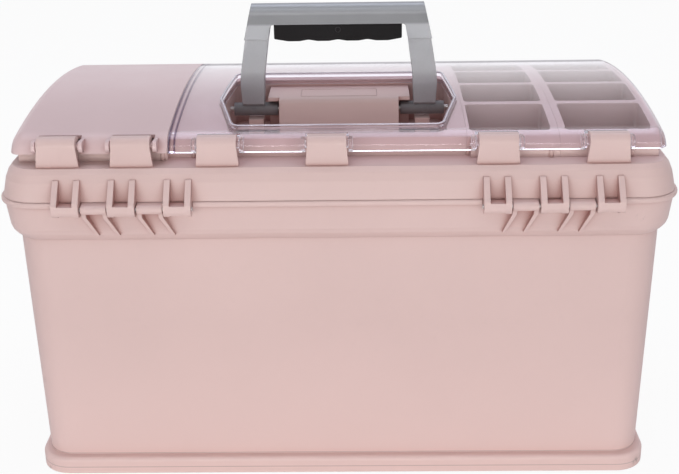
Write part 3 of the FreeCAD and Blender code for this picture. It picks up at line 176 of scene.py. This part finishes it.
class Graph:
    """A node tree, emptied; the calls that fill it take and return sockets."""

    def __init__(self, tree):
        self.tree = tree
        self.tree.nodes.clear()

    def node(self, kind, **values):
        made = self.tree.nodes.new(kind)
        for key, value in values.items():
            setattr(made, key, value)
        return made

    def link(self, source, into):
        self.tree.links.new(source, into)

    def feed(self, into, value):
        """Link a socket to an input, or write a plain number or colour on it."""
        if isinstance(value, bpy.types.NodeSocket):
            self.link(value, into)
        else:
            into.default_value = value

    def compute(self, operation, *values):
        made = self.node("ShaderNodeMath", operation=operation)
        for into, value in zip(made.inputs, values):
            self.feed(into, value)
        return made.outputs["Value"]

    def highest(self, values):
        total = values[0]
        for value in values[1:]:
            total = self.compute("MAXIMUM", total, value)
        return total

    def spread(self, value, low, high, to_low=0.0, to_high=1.0, steps="LINEAR"):
        """Map one range of a value to another."""
        spread = self.node("ShaderNodeMapRange", interpolation_type=steps)
        spread.inputs["From Min"].default_value = low
        spread.inputs["From Max"].default_value = high
        spread.inputs["To Min"].default_value = to_low
        spread.inputs["To Max"].default_value = to_high
        self.link(value, spread.inputs["Value"])
        return spread.outputs["Result"]

    def mix_shaders(self, factor, first, second):
        mix = self.node("ShaderNodeMixShader")
        for into, source in zip(mix.inputs, (factor, first, second)):
            self.link(source, into)
        return mix.outputs["Shader"]

    def seen_directly(self):
        """1 where the camera looks straight or through the clear lid, 0 for other rays."""
        path = self.node("ShaderNodeLightPath")
        return self.highest([path.outputs["Is Camera Ray"], path.outputs["Is Transmission Ray"]])


class Shader(Graph):
    """A material with a principled shader, patterned in the piece's own metres."""

    def __init__(self, name):
        self.material = bpy.data.materials.new(name)
        self.material.use_nodes = True
        super().__init__(self.material.node_tree)
        self.surface = self.node("ShaderNodeBsdfPrincipled")
        self.output = self.node("ShaderNodeOutputMaterial")
        self.link(self.surface.outputs["BSDF"], self.output.inputs["Surface"])
        self.place = self.node("ShaderNodeTexCoord").outputs["Object"]

    def noise(self, scale, detail=3.0, roughness=0.55, stretch=None):
        """Noise, drawn out along an axis by stretch."""
        noise = self.node("ShaderNodeTexNoise")
        noise.inputs["Scale"].default_value = scale
        noise.inputs["Detail"].default_value = detail
        noise.inputs["Roughness"].default_value = roughness
        at = self.place
        if stretch is not None:
            mapping = self.node("ShaderNodeMapping")
            mapping.inputs["Scale"].default_value = stretch
            self.link(at, mapping.inputs["Vector"])
            at = mapping.outputs["Vector"]
        self.link(at, noise.inputs["Vector"])
        return noise.outputs["Fac"]

    def along(self, axis):
        split = self.node("ShaderNodeSeparateXYZ")
        self.link(self.place, split.inputs["Vector"])
        return split.outputs[axis]

    def blend(self, factor, first, second):
        """Mix two colours, each a tuple or a socket."""
        mix = self.node("ShaderNodeMix", data_type="RGBA")
        self.link(factor, mix.inputs["Factor"])
        for name, colour in (("A", first), ("B", second)):
            into = [s for s in mix.inputs if s.name == name and s.type == "RGBA"][0]
            self.feed(into, rgba(colour) if isinstance(colour, tuple) else colour)
        return [s for s in mix.outputs if s.type == "RGBA"][0]

    def paint(self, colour, gloss, roughness):
        """Link the base colour, and a roughness that follows gloss noise between two values."""
        self.link(colour, self.surface.inputs["Base Color"])
        self.link(self.spread(gloss, *NOISE_SPAN, *roughness), self.surface.inputs["Roughness"])

    def bump(self, height, strength, distance, radius):
        """Fine relief on faces whose sharp edges catch light like rounded ones."""
        bump = self.node("ShaderNodeBump")
        bump.inputs["Strength"].default_value = strength
        bump.inputs["Distance"].default_value = distance
        self.link(height, bump.inputs["Height"])
        soften = self.node("ShaderNodeBevel", samples=BEVEL_SAMPLES)
        soften.inputs["Radius"].default_value = radius
        self.link(soften.outputs["Normal"], bump.inputs["Normal"])
        self.link(bump.outputs["Normal"], self.surface.inputs["Normal"])


def painted_shade_mask(shader, reach):
    """Painted shade mask: near 1 deep in corners and cups of the piece itself, 0 on its open
    faces.
    """
    shade = shader.node("ShaderNodeAmbientOcclusion", samples=PAINTED_SHADE_SAMPLES, only_local=True)
    shade.inputs["Distance"].default_value = reach
    return shader.spread(shade.outputs["AO"], 0.92, 0.30)


def line_mask(shader, axis, places, half_width):
    """Value 1 on thin straight lines across an axis at the given places."""
    along = shader.along(axis)
    lines = []
    for place in places:
        away = shader.compute("ABSOLUTE", shader.compute("SUBTRACT", along, place))
        lines.append(shader.spread(away, half_width * 0.4, half_width, 1.0, 0.0))
    return shader.highest(lines)


def scuff_mask(shader, scuffs):
    """Value up to 1 in ragged patches round the given places."""
    patches = []
    for place, reach in scuffs:
        span = shader.node("ShaderNodeVectorMath", operation="DISTANCE")
        shader.link(shader.place, span.inputs[0])
        span.inputs[1].default_value = place
        patches.append(shader.spread(span.outputs["Value"], reach * 0.3, reach, 1.0, 0.0))
    ragged = shader.spread(shader.noise(420.0, 5.0, 0.75, (0.5, 1.0, 0.22)), 0.50, 0.62)
    return shader.compute("MULTIPLY", shader.highest(patches), ragged)


def edge_mask(shader, radius):
    """Value near 1 on sharp outer edges: how far a rounded normal leans from the true one."""
    bevel = shader.node("ShaderNodeBevel", samples=BEVEL_SAMPLES)
    bevel.inputs["Radius"].default_value = radius
    geometry = shader.node("ShaderNodeNewGeometry")
    lean = shader.node("ShaderNodeVectorMath", operation="DOT_PRODUCT")
    shader.link(bevel.outputs["Normal"], lean.inputs[0])
    shader.link(geometry.outputs["Normal"], lean.inputs[1])
    return shader.spread(lean.outputs["Value"], 0.995, 0.75)


# Materials

def plastic(name, colour, rough=0.42, grain=0.12, grain_size=2600.0, edge=0.0006, worn=0.5,
            shine=0.5, reach=0.035, lines=None, scuffs=None, floor_light_height=None):
    """Moulded plastic: faint mottling where the melt flowed, fine satin grain, uneven gloss and
    rubbed edges.

    reach is how deep a corner or cup has to be to get painted shade in a darker, richer colour,
    lines are the heights of parting lines, and the last argument is the height below which the
    colour gets paler, painted light from the floor.
    """
    shader = Shader(name)
    dark, light = (tint(colour, share) for share in CLOUD_SHARES)
    look = shader.blend(shader.spread(shader.noise(9.0, 4.0), *NOISE_SPAN), dark, light)
    flecks = shader.spread(shader.noise(160.0), 0.60, 0.74, 0.0, FLECK_STRENGTH)
    look = shader.blend(flecks, look, tint(colour, FLECK_SHARE))
    scratches = shader.spread(shader.noise(240.0, 5.0, 0.7), 0.42, 0.66, 0.0, worn)
    rubbed = shader.compute("MULTIPLY", edge_mask(shader, edge * 1.6), scratches)
    look = shader.blend(rubbed, look, tint(colour, RUBBED_SHARE))
    # Painted shade: corners and cups of the piece itself get a darker, richer colour
    painted_shade = shader.spread(painted_shade_mask(shader, reach), 0.0, 1.0, 0.0, PAINTED_SHADE_STRENGTH)
    look = shader.blend(painted_shade, look, painted_shade_colour(colour))
    # Painted light: paler towards the floor, as if lit by light bounced off it
    if floor_light_height:
        lower = shader.spread(shader.along("Z"), 0.0, floor_light_height, 1.0, 0.0)
        look = shader.blend(lower, look, tint(colour, FLOOR_LIGHT_SHARE))
    if lines:
        marks = line_mask(shader, "Z", lines, FOOT_LINE_HALF)
        faint = shader.spread(marks, 0.0, 1.0, 0.0, LINE_STRENGTH)
        look = shader.blend(faint, look, tint(colour, LINE_SHARE))
    if scuffs:
        look = shader.blend(scuff_mask(shader, scuffs), look, tint(colour, SCUFF_SHARE))
    shader.paint(look, shader.noise(22.0, 5.0, 0.6), (rough - 0.05, rough + 0.07))
    shader.surface.inputs["Specular IOR Level"].default_value = shine
    shader.surface.inputs["IOR"].default_value = MOULDED_IOR
    shader.bump(shader.noise(grain_size, 2.0, 0.5), grain, 0.0002, edge)
    return shader.material


def clear_plastic(name):
    """Clear moulded plastic that lets light through to what it covers."""
    shader = Shader(name)
    surface = shader.surface
    haze = shader.spread(shader.noise(26.0, 4.0, 0.6), 0.35, 0.75, 0.015, 0.07)
    shader.link(haze, surface.inputs["Roughness"])
    look = shader.blend(shader.noise(7.0, 2.0), tint(CLEAR, 0.99), CLEAR)
    look = shader.blend(line_mask(shader, "X", SPLIT_LINES, SPLIT_LINE_HALF), look, RIM_LILAC)
    shader.link(look, surface.inputs["Base Color"])
    surface.inputs["Transmission Weight"].default_value = 1.0
    surface.inputs["IOR"].default_value = CLEAR_IOR
    straight = shader.node("ShaderNodeBsdfTransparent")
    straight.inputs["Color"].default_value = rgba(CLEAR_STRAIGHT)
    path = shader.node("ShaderNodeLightPath").outputs
    deep = shader.compute("GREATER_THAN", path["Ray Depth"], CLEAR_DEPTH)
    unbent = shader.highest([path["Is Shadow Ray"], path["Is Diffuse Ray"], deep])
    body = shader.mix_shaders(unbent, surface.outputs["BSDF"], straight.outputs["BSDF"])
    # Painted highlight: sharp edges turn into a pale lilac, glossy surface in place of clear
    # plastic
    edge_highlight = shader.node("ShaderNodeBsdfPrincipled")
    edge_highlight.inputs["Base Color"].default_value = rgba(HIGHLIGHT_LILAC)
    edge_highlight.inputs["Roughness"].default_value = 0.12
    lit = shader.spread(edge_mask(shader, 0.0009), 0.15, 0.9, 0.0, 0.55)
    edged = shader.mix_shaders(lit, body, edge_highlight.outputs["BSDF"])
    shader.link(edged, shader.output.inputs["Surface"])
    return shader.material


def painted_highlight_edge(name):
    """Painted highlight: a bright lilac line for clear plastic's edge, a little uneven in gloss.
    """
    shader = Shader(name)
    cloud = shader.noise(60.0)
    shader.paint(shader.blend(cloud, tint(HIGHLIGHT_LILAC, 0.92), tint(HIGHLIGHT_LILAC, 1.08)), cloud,
                 (0.06, 0.16))
    shader.surface.inputs["Transmission Weight"].default_value = 0.25
    return shader.material


def metal(name, colour, rough, metallic, brushed=None, grain=0.05, shade_band=None):
    """Metallic-grey plastic or drawn wire, with fine flakes or brushed lines.

    The last argument is the height, low and high, between which painted shade darkens the bar's
    front.
    """
    shader = Shader(name)
    flakes = shader.noise(1800.0, 2.0, 0.5, brushed)
    dark, light = (tint(colour, share) for share in FLAKE_SHARES)
    look = shader.blend(flakes, dark, light)
    nicks = shader.spread(shader.noise(420.0, 4.0, 0.7), 0.45, 0.68, 0.0, NICK_STRENGTH)
    rubbed = shader.compute("MULTIPLY", edge_mask(shader, 0.0008), nicks)
    look = shader.blend(rubbed, look, tint(colour, NICK_SHARE))
    # Painted shade: the front of the bar darker between the given heights
    if shade_band:
        low, high = shade_band
        height = shader.along("Z")
        rise = shader.spread(height, low - 0.001, low + 0.001)
        fall = shader.spread(height, high - 0.0035, high, 1.0, 0.0)
        bar_shade = shader.spread(shader.compute("MULTIPLY", rise, fall), 0.0, 1.0, 0.0, BAR_SHADE_STRENGTH)
        look = shader.blend(bar_shade, look, tint(colour, BAR_SHADE_SHARE))
    shader.paint(look, shader.noise(55.0, 4.0, 0.6), (rough - 0.06, rough + 0.08))
    shader.surface.inputs["Metallic"].default_value = metallic
    shader.bump(flakes, grain, 0.0001, 0.0007)
    return shader.material


def dress(names, material):
    for name in names:
        mesh = nodes[name].data
        mesh.materials.clear()
        mesh.materials.append(material)


dress(["drawer_shelf_lower", "drawer_shelf_upper", "main_lid", "solid_lid_tray"],
      plastic("pink_plastic", PINK))
# Painted shade reaches further in the cups and less far in the handle's well
dress(["cup_tray_inner", "cup_tray_outer"], plastic("cup_plastic", PINK, reach=0.045))
dress(["handle_well"], plastic("well_plastic", PINK, reach=0.010))
dress(["base_cabinet"], plastic("case_plastic", PINK, lines=FOOT_LINES, scuffs=SCUFFS,
                                floor_light_height=FLOOR_LIGHT_HEIGHT))
dress(["solid_top_lid"], plastic("lid_plastic", LID_PINK, rough=0.36, grain=0.16))
dress(["clear_top_lid"], clear_plastic("clear_plastic"))
bar_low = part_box("handle_grip")[1][2]
bar_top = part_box("handle_bail")[1][2]
dress(["handle_bail"], metal("handle_silver", SILVER, 0.36, 0.25,
                             shade_band=(bar_low, bar_top - BAR_TOP_CLEAR)))
dress([n for n in nodes if n.startswith("latch_") and "pin" not in n],
      metal("latch_silver", SILVER, 0.40, 0.25))
dress([n for n in nodes if n.startswith("pivot_barrel")],
      plastic("dark_plastic", DARK_GREY, rough=0.38, grain=0.06, worn=0.3, reach=0.002))
dress(["handle_grip"], plastic("soft_grip", RUBBER, rough=0.62, grain=0.5, grain_size=1400.0,
                               worn=0.2, shine=0.2))
dress([n for n in nodes if "_pin_" in n],
      metal("pin_steel", STEEL, 0.30, 1.0, brushed=(1.0, 18.0, 18.0)))
dress(["drawer_lower", "drawer_middle", "drawer_upper"],
      plastic("drawer_plastic", DRAWER_PINK, rough=0.40))
dress([n for n in nodes if n.endswith("_dividers")],
      plastic("divider_plastic", PALE, rough=0.36, grain=0.08))


# Small details that ride on the lids and the handle

def line_piece(name, points, radius, material, body):
    """Closed round line through the points."""
    curve = bpy.data.curves.new(name, "CURVE")
    curve.dimensions = "3D"
    curve.bevel_depth = radius
    curve.bevel_resolution = 3
    spline = curve.splines.new("POLY")
    spline.points.add(len(points) - 1)
    for point, place in zip(spline.points, points):
        point.co = tuple(place) + (1.0,)
    spline.use_cyclic_u = True
    curve.materials.append(material)
    piece = bpy.data.objects.new(name, curve)
    bpy.context.scene.collection.objects.link(piece)
    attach(piece, body)


def rounded(corners, radius, steps=8):
    """Points of a closed flat outline with its corners rounded."""
    points = []
    count = len(corners)
    for i in range(count):
        here = Vector(corners[i])
        before = (Vector(corners[i - 1]) - here).normalized()
        after = (Vector(corners[(i + 1) % count]) - here).normalized()
        half = before.angle(after) / 2
        back = radius / math.tan(half)
        centre = here + (before + after).normalized() * (radius / math.sin(half))
        first = here + before * back - centre
        last = here + after * back - centre
        turn = first.angle_signed(last)
        for step in range(steps + 1):
            arm = first.copy()
            arm.rotate(Matrix.Rotation(-turn * step / steps, 2))
            points.append(centre + arm)
    return points


def between(points, spacing):
    """The same closed outline with more points on its long sides."""
    filled = []
    for i, here in enumerate(points):
        after = points[(i + 1) % len(points)]
        parts = max(1, int((after - here).length / spacing))
        filled.extend(here.lerp(after, part / parts) for part in range(parts))
    return filled


def gate_highlight():
    """Painted highlight: a bright line on the lip of the clear lid's opening, following the
    vault.
    """
    right = [(x + GATE_GROW, y + GATE_GROW * way) for (x, y), way in zip(GATE_ROWS, (-1, 0, 1))]
    corners = right + [(-x, y) for x, y in reversed(right)]
    path = []
    for point in between(rounded(corners, GATE_ROUND), GATE_SPACING):
        rise = math.sqrt(VAULT_RADIUS ** 2 - point.y ** 2)
        path.append((point.x, point.y, VAULT_CENTRE_Z + rise + LIP_RISE))
    line_piece("opening_highlight", path, GATE_LINE, painted_highlight_edge("painted_highlight_edge"),
               "clear_top_lid")


def ring(centre, radius, bend=None, steps=28):
    """Points of an upright ring that faces +Y; with bend, on a bar along X of that radius."""
    points = []
    for i in range(steps):
        angle = 2 * math.pi * i / steps
        out, rise = 0.0, radius * math.sin(angle)
        if bend is not None:
            turn = rise / bend
            out, rise = bend * math.cos(turn), bend * math.sin(turn)
        points.append((centre[0] - radius * math.cos(angle), centre[1] + out, centre[2] + rise))
    return points


def moulded_marks():
    """Plain round marks on the barrels and the grip, and the plain frame on the bridge."""
    dark = plastic("mark_dark", DARK_GREY, rough=0.34, grain=0.05)
    for side, x in (("left", BARREL_MARK_X), ("right", -BARREL_MARK_X)):
        low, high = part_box("pivot_barrel_" + side)
        bend = (high[2] - low[2]) / 2
        axis = (x, (low[1] + high[1]) / 2, (low[2] + high[2]) / 2)
        line_piece("barrel_mark_" + side, ring(axis, BARREL_MARK_RADIUS, bend), MARK_LINE, dark,
                   "handle")
    low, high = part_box("handle_grip")
    face = (0.0, high[1], high[2] - GRIP_MARK_DROP)
    line_piece("grip_mark", ring(face, GRIP_MARK_RADIUS), MARK_LINE,
               plastic("mark_grip", tint(RUBBER, 2.2), rough=0.45, shine=0.3),
               "handle")
    path = [(p.x, p.y, BRIDGE_TOP_Z) for p in rounded(FRAME_CORNERS, FRAME_ROUND)]
    line_piece("bridge_frame", path, FRAME_LINE, plastic("line_pink", LINE_PINK, grain=0.08),
               "main_lid")


def peg_mesh(mesh, x, wall_y, top_z, reach):
    """Upright peg with a rounded head, most of it inside the wall it stands on."""
    centre_y = wall_y + reach - PEG_RADIUS
    rings = [(PEG_LOW_Z, PEG_RADIUS), (top_z - PEG_HEAD, PEG_RADIUS * PEG_TAPER)]
    rings += [(top_z - PEG_HEAD * (1 - math.sin(a)), PEG_RADIUS * PEG_TAPER * math.cos(a))
              for a in (0.4, 0.8, 1.2)]
    turns = [2 * math.pi * i / PEG_SIDES for i in range(PEG_SIDES)]
    points = [(x + r * math.cos(turn), centre_y + r * math.sin(turn), z)
              for z, r in rings for turn in turns]
    faces = [tuple(range(PEG_SIDES))[::-1]]
    for low in range(0, (len(rings) - 1) * PEG_SIDES, PEG_SIDES):
        high = low + PEG_SIDES
        for i in range(PEG_SIDES):
            j = (i + 1) % PEG_SIDES
            faces.append((low + i, low + j, high + j, high + i))
    faces.append(tuple(range(len(points) - PEG_SIDES, len(points))))
    mesh.from_pydata(points, [], faces)
    mesh.polygons.foreach_set("use_smooth", [len(f) == 4 for f in faces])


def stand_pegs():
    material = plastic("peg_plastic", PINK, rough=0.38)
    for number, (x, wall_y, top_z, reach) in enumerate(PEGS, start=1):
        name = "ledge_peg_%d" % number
        mesh = bpy.data.meshes.new(name)
        peg_mesh(mesh, x, wall_y, top_z, reach)
        mesh.materials.append(material)
        piece = bpy.data.objects.new(name, mesh)
        bpy.context.scene.collection.objects.link(piece)
        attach(piece, "main_lid")


gate_highlight()
moulded_marks()
stand_pegs()


# Stage

def make_floor():
    """Floor that is plain white to the camera, apart from the share that shows the shadow."""
    mesh = bpy.data.meshes.new("floor")
    corners = [(x * FLOOR_HALF, y * FLOOR_HALF, 0.0)
               for x, y in ((-1, -1), (1, -1), (1, 1), (-1, 1))]
    mesh.from_pydata(corners, [], [(0, 1, 2, 3)])
    floor = bpy.data.objects.new("floor", mesh)
    bpy.context.scene.collection.objects.link(floor)
    shader = Shader("studio_floor")
    colour = shader.blend(shader.noise(3.0, 2.0), *FLOOR_GREYS)
    shader.link(colour, shader.surface.inputs["Base Color"])
    shader.surface.inputs["Roughness"].default_value = 0.9
    white = shader.node("ShaderNodeEmission")
    white.inputs["Strength"].default_value = 1.0
    share = shader.compute("MULTIPLY", shader.seen_directly(), FLOOR_WHITE)
    mixed = shader.mix_shaders(share, shader.surface.outputs["BSDF"], white.outputs["Emission"])
    shader.link(mixed, shader.output.inputs["Surface"])
    mesh.materials.append(shader.material)


def light_world():
    """Soft surroundings with a brighter low backdrop behind; seen directly they are white."""
    world = bpy.data.worlds.new("studio")
    bpy.context.scene.world = world
    world.use_nodes = True
    graph = Graph(world.node_tree)
    output = graph.node("ShaderNodeOutputWorld")
    soft = graph.node("ShaderNodeBackground")
    soft.inputs["Color"].default_value = rgba(SKY)
    split = graph.node("ShaderNodeSeparateXYZ")
    towards = graph.node("ShaderNodeTexCoord").outputs["Generated"]
    graph.link(towards, split.inputs["Vector"])
    low = graph.spread(split.outputs["Z"], *BACKDROP_RISE, BACKDROP_GLOW, 0.0, "SMOOTHSTEP")
    behind = graph.spread(split.outputs["Y"], *BACKDROP_BEHIND, 1.0, 0.0, "SMOOTHSTEP")
    graph.link(graph.compute("MULTIPLY_ADD", low, behind, SKY_LEVEL), soft.inputs["Strength"])
    white = graph.node("ShaderNodeBackground")
    white.inputs["Strength"].default_value = 1.0
    mixed = graph.mix_shaders(graph.seen_directly(), soft.outputs["Background"],
                              white.outputs["Background"])
    graph.link(mixed, output.inputs["Surface"])


def add_softbox(name, at, target, width, height, power, colour):
    lamp = bpy.data.lights.new(name, "AREA")
    lamp.shape = "RECTANGLE"
    lamp.size = width
    lamp.size_y = height
    lamp.energy = power
    lamp.color = colour
    holder = bpy.data.objects.new(name, lamp)
    bpy.context.scene.collection.objects.link(holder)
    holder.location = at
    aim = Vector(target) - Vector(at)
    holder.rotation_euler = aim.to_track_quat("-Z", "Y").to_euler()
    holder.visible_camera = False


def add_camera():
    forward = Vector((math.sin(YAW) * math.cos(PITCH), -math.cos(YAW) * math.cos(PITCH),
                      -math.sin(PITCH)))
    right = Vector((-math.cos(YAW), -math.sin(YAW), 0.0))
    up = right.cross(forward)
    across = right * math.cos(ROLL) + up * math.sin(ROLL)
    rise = up * math.cos(ROLL) - right * math.sin(ROLL)
    camera = bpy.data.cameras.new("camera")
    camera.sensor_width = SENSOR_WIDTH_MM
    camera.lens = camera.sensor_width * FOCAL_PX / IMAGE_WIDTH
    camera.shift_y = SHIFT_PX / IMAGE_WIDTH
    camera.clip_end = CLIP_END
    holder = bpy.data.objects.new("camera", camera)
    bpy.context.scene.collection.objects.link(holder)
    turn = Matrix((across, rise, -forward)).transposed()
    holder.matrix_world = Matrix.Translation(Vector(CAMERA_AT)) @ turn.to_4x4()
    bpy.context.scene.camera = holder


make_floor()
light_world()
for settings in LAMPS:
    add_softbox(*settings)
add_camera()
bpy.context.scene.view_settings.view_transform = "Standard"
